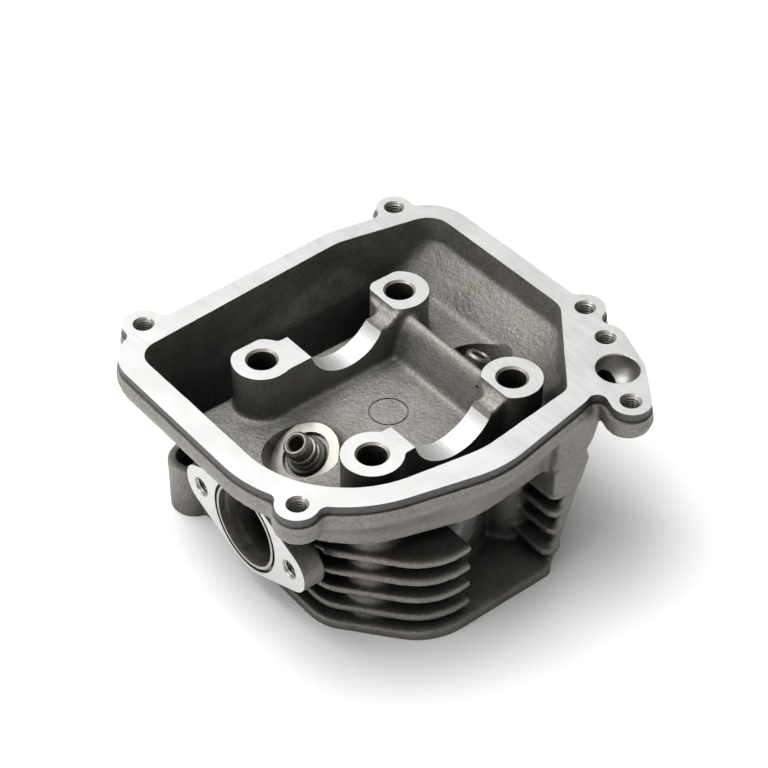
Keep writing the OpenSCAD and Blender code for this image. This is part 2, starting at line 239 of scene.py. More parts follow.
def tap(mouth, out, depth, r_low, r_high, pitch):
    """Cutter of a tapped hole with a countersink: the point and direction of its mouth, depth and thread."""
    n, rows_per_turn, lead, past = 48, 10, 0.9, 3
    half_tooth, steepness, countersink, drill_tip = 0.42, 1.15, 0.35, 0.55
    a, b, d = axes_of(out)
    rows = int(depth / pitch * rows_per_turn)
    base = Vector(mouth) - d * depth
    verts, faces = [], []
    zs = [depth * k / rows for k in range(rows + 1)]
    for z in zs:
        fade = min(1.0, z / pitch)
        for i in range(n):
            t = i / n
            u = (z / pitch + t) % 1.0
            tooth = max(0.0, 1 - abs(u - 0.5) / half_tooth)
            r = r_low + (r_high - r_low) * min(1.0, tooth * steepness) * fade
            lip = z - (depth - lead)
            if lip > 0:
                r = max(r, r_low + (r_high - r_low + countersink) * lip / lead)
            ang = 2 * math.pi * t
            verts.append(base + d * z + (a * math.cos(ang) + b * math.sin(ang)) * r)
    for i in range(n):
        ang = 2 * math.pi * i / n
        verts.append(base + d * (depth + past) + (a * math.cos(ang) + b * math.sin(ang)) * (r_high + 0.5))
    m = rows + 2
    for k in range(m - 1):
        for i in range(n):
            j = (i + 1) % n
            faces.append((k * n + i, k * n + j, (k + 1) * n + j, (k + 1) * n + i))
    tip = len(verts)
    verts.append(base - d * (r_low * drill_tip))
    top = len(verts)
    verts.append(base + d * (depth + past))
    faces += [(tip, (i + 1) % n, i) for i in range(n)]
    faces += [(top, (m - 1) * n + i, (m - 1) * n + (i + 1) % n) for i in range(n)]
    return outward(make("tap", verts, faces))


def settle(o):
    """Applies all modifiers."""
    bpy.context.view_layer.update()
    dg = bpy.context.evaluated_depsgraph_get()
    old = o.data
    me = bpy.data.meshes.new_from_object(o.evaluated_get(dg))
    o.modifiers.clear()
    o.data = me
    bpy.data.meshes.remove(old)


def solve(a, others, op):
    """Changes a by the others, which are used up."""
    for b in others:
        m = a.modifiers.new("csg", "BOOLEAN")
        m.operation, m.solver, m.object = op, "MANIFOLD", b
    settle(a)
    if not len(a.data.polygons):
        raise RuntimeError(f"{a.name}: nothing left after {op}")
    for b in others:
        drop(b)
    return a


def fused(*parts):
    return solve(parts[0], parts[1:], "UNION")


def cut(a, *others):
    return solve(a, others, "DIFFERENCE")


def common(a, *others):
    return solve(a, others, "INTERSECT")


def twin(o):
    return linked(o.name, o.data.copy())


def joined(*parts):
    """One mesh of parts that don't touch each other."""
    bm = bmesh.new()
    for p in parts:
        bm.from_mesh(p.data)
    me = bpy.data.meshes.new("joined")
    bm.to_mesh(me)
    bm.free()
    for p in parts:
        drop(p)
    return linked("joined", me)


def cad_loops(node, z, tol=0.02):
    """Outlines, longest first, of the faces of a CAD node that look up at height z in mm."""
    bm = bmesh.new()
    bm.from_mesh(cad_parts[node].data)
    bmesh.ops.scale(bm, vec=(1000,) * 3, verts=bm.verts)
    bmesh.ops.remove_doubles(bm, verts=bm.verts, dist=0.0005)
    flat = {f for f in bm.faces if f.normal.z > 0.99 and all(abs(v.co.z - z) < tol for v in f.verts)}
    step = {}
    for f in flat:
        for l in f.loops:
            if sum(g in flat for g in l.edge.link_faces) == 1:
                step[l.vert.index] = (l.link_loop_next.vert.index, (l.vert.co.x, l.vert.co.y))
    loops = []
    while step:
        start = next(iter(step))
        at, loop = start, []
        while at in step:
            at, xy = step.pop(at)
            loop.append(xy)
        loops.append(np.array(loop))
    bm.free()
    return sorted(loops, key=lambda p: -np.ptp(p[:, 0]))


# ---------------------------------------------------------------- outlines

# the circles (x, y, radius) that an outline is stretched round
DECK = [(-30.6, -20, 15.4), (-13, -30.4, 22.6), (21.5, -49, 4), (42, -18, 8), (43, 45, 7), (-38.5, 45, 7)]
FLOOR = [(-44, 44, 6), (36, 41, 10), (38, -12, 8), (28, -37, 6), (-2, -18, 27.5), (-18, -8, 32)]
RIM_IN = [(-50.5, 43, 7), (22, 38, 16.4), (49.5, 40, 8.5), (50, -11.5, 8), (30.5, -40, 5), (-2, -18, 30.3),
          (-20.7, -8, 37)]
deck_line = outline(*DECK)
fin_line = outline(*DECK, grow=-1.6)
floor_line = outline(*FLOOR)
floor_out = outline(*FLOOR, grow=4)
rim_in = outline(*RIM_IN)
rim_in_out = outline(*RIM_IN, grow=3.6)
rim_line = cad_loops("cover_flange", RIM_TOP)[0]
band_line = cad_loops("cover_flange", RIM_TOP - 3)[0]


def sliced(poly, keep):
    """Convex polygon cut by the half plane a x + b y <= c."""
    a, b, c = keep
    out = []
    for p, q in zip(poly, np.roll(poly, -1, 0)):
        u, v = a * p[0] + b * p[1] - c, a * q[0] + b * q[1] - c
        if u <= 0:
            out.append(tuple(p))
        if (u < 0) != (v < 0) and abs(u - v) > 1e-12:
            out.append(tuple(p + (q - p) * (u / (u - v))))
    return np.array(out)


# ---------------------------------------------------------------- the raw casting

VALVES = ((INTAKE_SEAT, INTAKE_UP), (EXHAUST_SEAT, EXHAUST_UP))
SPRING_H = TIP_H - SEAT_DROP


def corners(x0, y0, x1, y1, z):
    return [(x0, y0, z), (x1, y0, z), (x0, y1, z), (x1, y1, z)]


def port_plate(mouth, sign, t, body_r, half_pitch, extra):
    """Rhombus flange of a port, its face standing extra proud."""
    pts = outline((0, 0, body_r), (0, half_pitch, 7.6), (0, -half_pitch, 7.6))
    return hull3(*[np.c_[np.full(len(pts), x), mouth.y + pts[:, 1], mouth.z - pts[:, 0]]
                   for x in (mouth.x - sign * extra, mouth.x + sign * t)])


def rocker_box():
    """Floor slab, leaning walls and cover flange, hollowed out."""
    box = hull3(at_z(floor_out, FLOOR_TOP - 0.5), at_z(rim_in_out, FLANGE_UNDER))
    corner = hull3(corners(24, -51.5, 39, -33.5, FLOOR_TOP), corners(24, -52.5, 41.5, -32.5, FLANGE_UNDER))
    # the cast edge is a hair inside the outline, but for the ridge at the parting line of the mould
    flange = fused(prism(band_line * 0.993, FLANGE_UNDER, RIM_TOP + ALLOW), prism(band_line, 58.8, 60.6))
    slab = prism(floor_out, FLOOR_UNDER, FLOOR_TOP)
    slab_corner = prism(outline((27, -48.5, 3), (35.5, -48.5, 3), (40, -30, 6)), FLOOR_UNDER, FLOOR_TOP)
    shell = fused(box, corner, flange, slab, slab_corner)
    cavity = hull3(at_z(floor_line, FLOOR_TOP), at_z(rim_in, FLANGE_UNDER))
    mouth = prism(rim_in, FLANGE_UNDER - 0.05, RIM_TOP + 4)
    return cut(shell, cavity, mouth)


def lower_block():
    """Deck, core round the chamber, stud columns, and cam-chain tunnel with its lugs."""
    core = cyl((0, 0, DECK_T - 1), (0, 0, FLOOR_UNDER + 1), CORE_R, n=160)
    cut(core, block(-40, TUNNEL_WALL + 1, -5, 40, 60, 70))
    parts = [prism(deck_line, -ALLOW, DECK_T), core]
    for x in (-STUD, STUD):
        top = TOWER_TOP + ALLOW if x < 0 else TOWER_TOP - 2
        parts += [cyl((x, y, 0), (x, y, top), TOWER_R, n=96) for y in (-STUD, STUD)]
    parts.append(hull3(at_z([(-38, 32), (38, 32), (38, 52), (-38, 52)], DECK_T - 1),
                       at_z([(-52, 32), (48, 32), (48, 54), (-52, 54)], FLOOR_UNDER + 1)))
    parts += [cyl((x, LUG[1], -ALLOW), (x, LUG[1], 19.5), LUG_R) for x in (-LUG[0], LUG[0])]
    return parts


def ports():
    """Both ports with their flanges, and the boss of the spark plug."""
    return [port_plate(INTAKE_MOUTH, 1, 8, 16.6, INTAKE_BOLT, ALLOW),
            cyl(INTAKE_MOUTH + Vector((4.6, 0, 0)), INTAKE_BEND, 15.3),
            port_plate(EXHAUST_MOUTH, -1, 8, 16.5, EXHAUST_BOLT, ALLOW),
            cyl(EXHAUST_MOUTH - Vector((2, 0, 0)), EXHAUST_BEND, 15.5),
            cyl(PLUG_FACE - PLUG_OUT * 24, PLUG_FACE + PLUG_OUT * 0.9, PLUG_BOSS_R)]


def fins():
    """Four fins in each quarter. Those between exhaust and plug reach further out towards the top."""
    def quarter(x_keep, y_keep):
        return sliced(sliced(fin_line, x_keep), y_keep)

    to_tunnel = (0, 1, TUNNEL_WALL + 0.5)
    outlines = [quarter((1, 0, -8.5), (0, 1, 0.5)),
                sliced(quarter((1, 0, 0), (0, -1, 0.5)), to_tunnel),
                sliced(quarter((-1, 0, 0), (0, -1, 0.5)), to_tunnel)]
    parts = []
    for i in range(4):
        z = FIN_FIRST + i * FIN_PITCH
        for poly in outlines:
            # a fin is a little thinner at its edge than at its root
            mid = poly.mean(0)
            tip = mid + (poly - mid) * 0.992
            parts.append(hull3(at_z(tip, z), at_z(poly, z + 0.5), at_z(poly, z + FIN_T - 0.5),
                               at_z(tip, z + FIN_T)))
        lean = hull2(np.vstack([ring(27, -48.5, 3), ring(22.5 + 0.34 * z, -48.5, 3), ring(43, -18, 6.5),
                                [(24, -2), (49.5, -2), (24, 0), (49.5, 0)]]))
        parts.append(prism(lean, z, z + FIN_T))
    end_wall = hull3(corners(24.5, -51.1, 26, -48.6, 2), corners(29.5, -51.1, 35.5, -48.6, 31.9))
    shoulder = hull3(corners(24, -51.5, 35.5, -29.5, 31.7), corners(24, -51.5, 38.5, -29.5, 41))
    return parts + [end_wall, shoulder]


def stands():
    """Exhaust-side towers above their columns, tabs, cam saddles, and the web between two towers."""
    parts = []
    for y in (-STUD, STUD):
        disc = sliced(ring(STUD, y, TOWER_R, 96), (-1, 0, -19.8))
        if y > 0:
            disc = sliced(disc, (0, 1, TUNNEL_FACE))
        parts.append(prism(disc, TOWER_TOP - 4, TOWER_TOP + ALLOW))
    for y0, y1 in ((22, 30.6), (-30, -21.4)):
        parts.append(block(-STUD, y0, TOWER_TOP - 6, -12.6, y1, TOWER_TOP + ALLOW))
    for y0, y1, r in (SADDLE_CHAIN, SADDLE_PLUG):
        yoke = block(-STUD, y0, FLOOR_TOP - 1, STUD, y1, TOWER_TOP - 3.4)
        ledge = hull3([(x, y, z) for x, z in ((16.2, 50), (16.2, 58.6), (19.8, 61.4), (26, 61.4), (26, 50))
                       for y in (y0, y1)])
        left = block(-STUD, y0, FLOOR_TOP - 1, -r + 2.5, y1, TOWER_TOP + ALLOW)
        parts.append(fused(yoke, left, ledge))
    # the web's profile lies in x and z, and runs from one saddle to the other
    web = prism([(17.5, 44), (21.2, 56.8), (22.4, 58.5), (24, 59), (25.2, 58.3), (27.5, 44)],
                0, SADDLE_CHAIN[0] - SADDLE_PLUG[1])
    web.data.transform(Matrix(((1, 0, 0, 0), (0, 0, -1, SADDLE_CHAIN[0]), (0, 1, 0, 0), (0, 0, 0, 1))))
    return parts + [web]


def spring_bosses():
    parts = []
    for seat, up in VALVES:
        parts.append(cyl(seat + up * 24, seat + up * (SPRING_H + 0.9), 11.2))
        # wall of the pocket where it dips under the rocker floor
        parts.append(common(cyl(seat + up * 27, seat + up * 46, 13.8),
                            block(-90, -90, 0, 90, 90, FLOOR_TOP - 0.4)))
    return parts


def raw_casting():
    air_tube = cyl(AIR_TUBE_TOP, Vector((43, -12, 24)), 7.5)
    casting = fused(rocker_box(), *lower_block(), *ports(), *fins(), air_tube, *stands(), *spring_bosses())
    # chain well, and the flats of the two towers beside it
    well = sliced(floor_line, (0, -1, -TUNNEL_FACE))
    hollow = hull3(at_z([(-33, TUNNEL_FACE), (33, TUNNEL_FACE), (33, 48.5), (-33, 48.5)], -3),
                   at_z(well, FLOOR_TOP + 0.3))
    flats = block(-37.5, TUNNEL_FACE, FLOOR_TOP + 0.3, 37.5, TUNNEL_FACE + 3, RIM_TOP + 5)
    cut(casting, hollow, flats)
    # intake way, exhaust way, air way
    cut(casting,
        cyl(INTAKE_MOUTH + Vector((-3, 0, 1)), INTAKE_MOUTH + Vector((11, 0.3, -3.7)), 13.6, 11.1),
        cyl(INTAKE_MOUTH + Vector((8, 0.2, -2.7)), INTAKE_BEND, 11.1),
        ball(INTAKE_BEND, 12.2),
        cyl(INTAKE_SEAT - INTAKE_UP * 6, INTAKE_BEND, 12.4),
        cyl(EXHAUST_MOUTH + Vector((3, 0, 0)), EXHAUST_BEND, 11),
        ball(EXHAUST_BEND, 11.4),
        cyl(EXHAUST_SEAT - EXHAUST_UP * 6, EXHAUST_BEND, 10.6),
        cyl(AIR_TUBE_TOP, Vector((39, -12, 21)), 3.5))
    return casting


# ---------------------------------------------------------------- cast skin

FINE_VOXEL = 0.55
VOXEL = FINE_VOXEL


def column(items, key, dtype, width=1):
    """One attribute of all the items as an array."""
    got = np.empty(len(items) * width, dtype)
    items.foreach_get(key, got)
    return got.reshape(-1, width) if width > 1 else got


def coords(me):
    return column(me.vertices, "co", np.float64, 3)


def ramp(x, a, b):
    t = np.clip((x - a) / (b - a), 0, 1)
    return t * t * (3 - 2 * t)


def weights(o, name, values, steps=16):
    """A vertex group from an array, in steps."""
    g = o.vertex_groups.new(name=name)
    q = np.round(np.clip(values, 0, 1) * steps).astype(int)
    for k in range(1, steps + 1):
        hit = np.nonzero(q == k)[0]
        if len(hit):
            g.add(hit.tolist(), k / steps, "REPLACE")


def smooth(o, rounds, group=None, factor=0.5):
    m = o.modifiers.new("smooth", "SMOOTH")
    m.factor, m.iterations = factor, rounds
    if group:
        m.vertex_group = group


def clouds(name, size, depth=2):
    t = bpy.data.textures.new(name, "CLOUDS")
    t.noise_scale, t.noise_depth = size, depth
    return t


def cast_skin(o):
    m = o.modifiers.new("voxel", "REMESH")
    m.mode, m.voxel_size, m.use_smooth_shade = "VOXEL", VOXEL, True
    settle(o)
    x, y, z = coords(o.data).T
    # the rocker box has wide fillets, fins and port plates only small ones
    inside = ramp(z, 43.2, 44.6) * (1 - ramp(z, 57, 60)) * (np.abs(x) < 56)
    weights(o, "wide", inside)
    k = FINE_VOXEL / VOXEL
    smooth(o, int(12 * k * k) + 1)
    smooth(o, int(34 * k * k) + 1, "wide")
    for name, size, strength in (("sand_coarse", 9.0, 0.22), ("sand_mid", 2.6, 0.12)):
        d = o.modifiers.new(name, "DISPLACE")
        d.texture = clouds(name, size)
        d.texture_coords, d.strength, d.mid_level = "LOCAL", strength, 0.5
    settle(o)
    return o


casting = cast_skin(raw_casting())
casting.name = "casting"


# ---------------------------------------------------------------- machining

def frustum_hole(x, y, z_top, r, lead=0.9, down=70):
    """Plain drilled hole from above with a small countersink."""
    return lathe((x, y, z_top), (0, 0, 1),
                 [(0, -down), (r, -down), (r, -lead), (r + lead, 0), (r + lead + 2, 2), (0, 2)])


def mill_faces(o):
    """Gasket face, port faces, cover face with the step round it, and the tops of the stands."""
    step = block(-90, -90, RIM_TOP - 3.1, 90, 90, RIM_TOP + 5)
    cut(step, prism(rim_line, RIM_TOP - 6, RIM_TOP + 8))
    cut(o, joined(block(-90, -90, -9, 90, 90, 0),
                  block(-75, -32, 4, INTAKE_MOUTH.x, 32, 45.6),
                  block(EXHAUST_MOUTH.x, -32, 1, 75, 30, 37.1),
                  fused(block(-90, -90, RIM_TOP, 90, 90, RIM_TOP + 9), step,
                        block(-37.2, -37.2, TOWER_TOP, 37.2, TUNNEL_FACE + 0.7, RIM_TOP + 3))))


def bore(o):
    """Cam bearing half rounds, studs, guides with their spring seats, chamber, spark plug and air recess."""
    work = [cyl((0, a, RIM_TOP), (0, b, RIM_TOP), r, n=160)
            for a, b, r in ((17.4, 31.5, SADDLE_CHAIN[2]), (-33.4, -20.6, SADDLE_PLUG[2]))]
    work += [frustum_hole(x, y, TOWER_TOP, STUD_R, 0.7) for x in (-STUD, STUD) for y in (-STUD, STUD)]
    h = SPRING_H
    for (seat, up), r in zip(VALVES, (15, 13)):
        work.append(lathe(seat, up, [(0, -14), (r, -14), (r, 6), (5, 6), (5, h - 1.6), (7.8, h - 1.6),
                                     (7.8, h), (SPRING_R, h), (SPRING_R, h + 26), (0, h + 26)], 96))
    work.append(ball((0, 0, CHAMBER_DEPTH - CHAMBER_R), CHAMBER_R, 96))
    # round mark of the ejector pin on the rocker floor
    work.append(lathe((0, -1, FLOOR_TOP - 0.35), (0, 0, 1), [(5.8, 0), (6.3, 0), (6.3, 1), (5.8, 1)], 96,
                      tube=True))
    # spark plug: spot face with its thread
    work.append(fused(cyl(PLUG_FACE, PLUG_FACE + PLUG_OUT * 12, PLUG_SPOT_R, n=96),
                      tap(PLUG_FACE, PLUG_OUT, 24, *M10_FINE)))
    work.append(lathe((AIR_PORT[0], AIR_PORT[1], RIM_TOP - 5), (0, 0, 1),
                      [(0, -2.4), (2.4, -2.2), (4.4, -1.2), (5.8, 0.4), (6.5, 2.0), (6.7, 3.4), (6.7, 4.7),
                       (7.0, 5.0), (7.0, 8), (0, 8)], 72))
    cut(o, fused(*work))


def tap_holes(o):
    """Port mouths with the gasket groove, tapped holes, and the holes of the side lugs."""
    work = [lathe(INTAKE_MOUTH + Vector((6, 0, 0)), (-1, 0, 0),
                  [(0, 3.4), (13.3, 3.4), (13.3, 6.6), (14.3, 6.6), (14.3, 4.8), (15.4, 4.8), (15.4, 8),
                   (0, 8)], 128),
            lathe(EXHAUST_MOUTH - Vector((3.5, 0, 0)), (1, 0, 0),
                  [(0, 0), (14, 0), (14, 3.2), (14.4, 3.6), (14.4, 6), (0, 6)], 96)]
    work += [tap(INTAKE_MOUTH + Vector((0, y, 0)), (-1, 0, 0), 11, *M6)
             for y in (-INTAKE_BOLT, INTAKE_BOLT)]
    work += [tap(EXHAUST_MOUTH + Vector((0, y, 0)), (1, 0, 0), 11, *M8)
             for y in (-EXHAUST_BOLT, EXHAUST_BOLT)]
    work += [tap((x, y, RIM_TOP), (0, 0, 1), 12.5, *M6) for x, y in COVER_BOLTS + AIR_BOLTS]
    work += [frustum_hole(x, LUG[1], 18, 3.3, 0.5, 30) for x in (-LUG[0], LUG[0])]
    cut(o, joined(*work))


mill_faces(casting)
bore(casting)
tap_holes(casting)

# ---------------------------------------------------------------- which faces are cast and which are cut

CAST, MILLED, BORED, THREAD, CHAMBER, BAND = range(6)
FLAT_TOL, ROUND_TOL = 0.012, 0.03     # how near its plane or its round a corner of a cut face lies
SHARP = math.radians(34)
inner_rim = outline(*RIM_IN, grow=2)
inner_turn = np.roll(inner_rim, -1, 0) - inner_rim


def outside_rim(p):
    """Points outside the convex mouth of the rocker box."""
    out = np.zeros(len(p), bool)
    for (px, py), (dx, dy) in zip(inner_rim, inner_turn):
        out |= dx * (p[:, 1] - py) - dy * (p[:, 0] - px) < 0
    return out


def off_axis(p, base, axis):
    """Distance from an axis, and height along it, of points."""
    d = np.array(Vector(axis).normalized())
    v = p - np.array(base)
    h = v @ d
    return np.linalg.norm(v - h[:, None] * d, axis=1), h


def face_kinds(me):
    """The kind of each face, told from where its corners lie."""
    centre = column(me.polygons, "center", np.float64, 3)
    normal = column(me.polygons, "normal", np.float64, 3)
    start = column(me.polygons, "loop_start", np.int32)
    corner = column(me.loops, "vertex_index", np.int32)
    co = coords(me)
    x, y, z = centre.T
    vx, vy, vz = co.T

    def every(test):
        """Faces whose corners all pass a test on vertex positions."""
        return np.minimum.reduceat(test[corner].astype(np.int8), start).astype(bool)

    kind = np.full(len(centre), CAST, np.int32)
    tol = FLAT_TOL
    for plane, facing in ((every(abs(vz - RIM_TOP) < tol), normal[:, 2] > 0.9),
                          (every(abs(vz) < tol), normal[:, 2] < -0.9),
                          (every(abs(vz - TOWER_TOP) < tol) & (abs(x) < 38), normal[:, 2] > 0.9),
                          (every(abs(vx - INTAKE_MOUTH.x) < tol), normal[:, 0] < -0.9),
                          (every(abs(vx - EXHAUST_MOUTH.x) < tol), normal[:, 0] > 0.9)):
        kind[plane & facing] = MILLED
    for a, b, r in (SADDLE_CHAIN, SADDLE_PLUG):
        on = every(abs(np.hypot(vx, vz - RIM_TOP) - r) < ROUND_TOL)
        kind[on & (y > a - 1) & (y < b + 6) & (abs(x) < 0.82 * r)] = MILLED
    rad, h = off_axis(co, EXHAUST_MOUTH, (1, 0, 0))
    kind[every((rad < 14.45) & (h > -3.6) & (h < 0.05) & (rad > 11.2))] = BORED
    rad, h = off_axis(co, INTAKE_MOUTH, (1, 0, 0))
    kind[every((rad < 15.45) & (h < 6.1) & (rad > 12.1))] = BORED
    for sx in (-STUD, STUD):
        for sy in (-STUD, STUD):
            rad = np.hypot(vx - sx, vy - sy)
            kind[every((rad < STUD_R + 0.75) & (rad > STUD_R - 0.1)) & (z < TOWER_TOP + 0.1)
                 & (abs(normal[:, 2]) < 0.95)] = BORED
    for seat, up in VALVES:
        rad, h = off_axis(co, seat, up)
        kind[every((rad < SPRING_R + 0.02) & (abs(h - SPRING_H) < tol))] = BORED
        kind[every((abs(rad - SPRING_R) < ROUND_TOL) & (h > SPRING_H - tol) & (h < SPRING_H + 5))] = BORED
        kind[every((rad < 7.83) & (h < SPRING_H + tol) & (h > SPRING_H - 1.65))] = BORED
        kind[every((rad < 5.05) & (h < SPRING_H))] = BORED
    rad, h = off_axis(co, PLUG_FACE, PLUG_OUT)
    kind[every((rad < PLUG_SPOT_R + 0.05) & (abs(h) < tol))] = MILLED
    kind[every((abs(rad - PLUG_SPOT_R) < ROUND_TOL) & (h > -tol) & (h < 13))] = MILLED
    kind[every((rad < 6.0) & (h < 0.02) & (h > -25))] = THREAD
    for base, axis, r in (
            [((px, py, RIM_TOP), (0, 0, 1), 3.8) for px, py in COVER_BOLTS + AIR_BOLTS]
            + [(INTAKE_MOUTH + Vector((0, py, 0)), (-1, 0, 0), 3.8) for py in (-INTAKE_BOLT, INTAKE_BOLT)]
            + [(EXHAUST_MOUTH + Vector((0, py, 0)), (1, 0, 0), 4.8) for py in (-EXHAUST_BOLT, EXHAUST_BOLT)]):
        rad, h = off_axis(co, base, axis)
        kind[every((rad < r) & (h < 0.02) & (h > -13)) & (kind != MILLED)] = THREAD
    rad = np.hypot(vx - AIR_PORT[0], vy - AIR_PORT[1])
    kind[every((rad < 7.05) & (vz > RIM_TOP - 7.5)) & (kind != MILLED)] = CHAMBER
    dome = np.linalg.norm(co - np.array((0, 0, CHAMBER_DEPTH - CHAMBER_R)), axis=1)
    kind[every((abs(dome - CHAMBER_R) < ROUND_TOL) & (vz < CHAMBER_DEPTH + 0.1)) & (kind != MILLED)] = CHAMBER
    # the cast band round the outside of the flange top, which gets the darkened finish of painted shade
    high = np.nonzero((kind == CAST) & (z > RIM_TOP - 3.15))[0]
    kind[high[outside_rim(centre[high])]] = BAND
    return kind


def sort_faces(o):
    """Gives each face the material index of its kind, and makes the edges crisp where two kinds meet."""
    me = o.data
    kind = face_kinds(me)
    me.materials.clear()
    for _ in range(BAND + 1):
        me.materials.append(None)
    me.polygons.foreach_set("material_index", kind)
    me.polygons.foreach_set("use_smooth", np.ones(len(kind), bool))
    me.set_sharp_from_angle(angle=SHARP)
    edge = column(me.loops, "edge_index", np.int32)
    of = np.repeat(kind, column(me.polygons, "loop_total", np.int32))
    low, high = np.full(len(me.edges), 99), np.full(len(me.edges), -1)
    np.minimum.at(low, edge, of)
    np.maximum.at(high, edge, of)
    mark = me.attributes.get("sharp_edge") or me.attributes.new("sharp_edge", "BOOLEAN", "EDGE")
    sharp = column(mark.data, "value", bool)
    mark.data.foreach_set("value", sharp | ((low != high) & (high >= 0)))


# ---------------------------------------------------------------- the regions of the CAD part

CLEAR = 0.6         # a parting plane stays this far off a cast skin
ABOVE, BELOW = 80, -5
FOOT = FLOOR_TOP - 1.6


def take(rest, region):
    """Splits the region off the rest, both closed."""
    piece = common(twin(rest), twin(region))
    cut(rest, region)
    return piece


def parted(rest):
    """The casting as one closed solid for each of its CAD nodes."""
    out, towers = {}, {}
    for name, sx, sy in (("tower_intake_chain", -STUD, STUD), ("tower_exhaust_chain", STUD, STUD),
                         ("tower_exhaust_plug", STUD, -STUD), ("tower_intake_plug", -STUD, -STUD)):
        towers[name] = cyl((sx, sy, FOOT), (sx, sy, ABOVE), TOWER_R + CLEAR, n=96)
        if sy > 0:
            common(towers[name], block(-60, 0, BELOW, 60, TUNNEL_FACE + CLEAR + 0.4, 90))
    saddles = {name: fused(block(-STUD, y0 - CLEAR, FOOT, STUD, y1 + CLEAR, ABOVE),
                           block(-STUD, tab_from, 50, -12, tab_to, ABOVE))
               for name, (y0, y1, _), tab_from, tab_to in (("saddle_chain", SADDLE_CHAIN, 21.4, 31.2),
                                                           ("saddle_plug", SADDLE_PLUG, -30.6, -20.8))}
    web = block(15.5, -17.7, FOOT, 28.4, 17.7, 62)
    stand = take(rest, fused(*[twin(o) for o in (*towers.values(), *saddles.values(), web)]))
    drop(web)
    for name, region in (*towers.items(), *saddles.items()):
        out[name] = take(stand, region)
    out["tower_web"] = stand

    y_part = TUNNEL_WALL - CLEAR
    inner = outline(*FLOOR, grow=-CLEAR)
    regions = [
        ("cover_flange", block(-90, -90, FLANGE_UNDER - CLEAR, 90, 90, ABOVE)),
        ("air_passage", cyl(AIR_TUBE_TOP, Vector((42.4, -9.6, 21)), 8.1)),
        ("chain_tunnel", fused(block(-90, y_part, BELOW, 90, 90, FLOOR_TOP),
                               prism(sliced(inner, (0, -1, -y_part)), FLOOR_UNDER, FLANGE_UNDER - 1.5))),
        ("rocker_floor", fused(block(-90, -90, FLOOR_UNDER - CLEAR, 90, y_part, FLOOR_TOP),
                               prism(sliced(inner, (0, 1, y_part)), FLOOR_UNDER, FLANGE_UNDER - 1.5))),
        ("rocker_wall", block(-90, -90, FLOOR_TOP - 1, 90, 90, ABOVE)),
        ("gasket_deck", block(-90, -90, BELOW, 90, 90, DECK_T + CLEAR)),
        ("plug_boss", cyl(PLUG_FACE - PLUG_OUT * 9, PLUG_FACE + PLUG_OUT * 4, PLUG_BOSS_R + CLEAR)),
        ("chamber_core", cyl((0, 0, BELOW), (0, 0, ABOVE), CORE_R + CLEAR, n=160)),
        ("intake_port", fused(port_plate(INTAKE_MOUTH, 1, 8.8, 17.4, INTAKE_BOLT, 3),
                              cyl(INTAKE_MOUTH + Vector((4, 0, 0)), INTAKE_BEND, 16))),
        ("exhaust_port", fused(port_plate(EXHAUST_MOUTH, -1, 8.8, 17.3, EXHAUST_BOLT, 3),
                               cyl(EXHAUST_MOUTH - Vector((3, 0, 0)), EXHAUST_BEND, 16.2))),
        ("fins_intake_chain", block(-90, 1.5, BELOW, 0, 90, ABOVE)),
        ("fins_intake_plug", block(-90, -90, BELOW, 10, 1.5, ABOVE)),
        ("fins_exhaust_chain", block(0, 1.5, BELOW, 90, 90, ABOVE))]
    for name, region in regions:
        out[name] = take(rest, region)
    out["fins_exhaust_plug"] = rest
    return out


def drop_crumbs(o, least=40):
    """Drops shells of a few corners, left where a parting plane grazes the cast skin."""
    me = o.data
    a, b = column(me.edges, "vertices", np.int32, 2).T
    label = np.arange(len(me.vertices))
    while True:
        low = np.minimum(label[a], label[b])
        new = label.copy()
        np.minimum.at(new, a, low)
        np.minimum.at(new, b, low)
        new = new[new]
        if (new == label).all():
            break
        label = new
    size = np.bincount(label, minlength=len(label))[label]
    gone = np.nonzero(size < least)[0]
    if len(gone):
        bm = bmesh.new()
        bm.from_mesh(me)
        bm.verts.ensure_lookup_table()
        bmesh.ops.delete(bm, geom=[bm.verts[i] for i in gone], context="VERTS")
        bm.to_mesh(me)
        bm.free()


casting.vertex_groups.clear()
pieces = parted(casting)
for name, o in pieces.items():
    o.name = name + "_cast"
    drop_crumbs(o)
    sort_faces(o)
    o.data.transform(Matrix.Scale(MM, 4))
    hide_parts(name)
    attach(o, "root")

# ---------------------------------------------------------------- guides and their clips

GUIDE_R, GUIDE_L, STEM_R = 5.0, 36.0, 2.5
CLIP_R, CLIP_T, CLIP_EDGE = 6.3, 1.6, 0.25
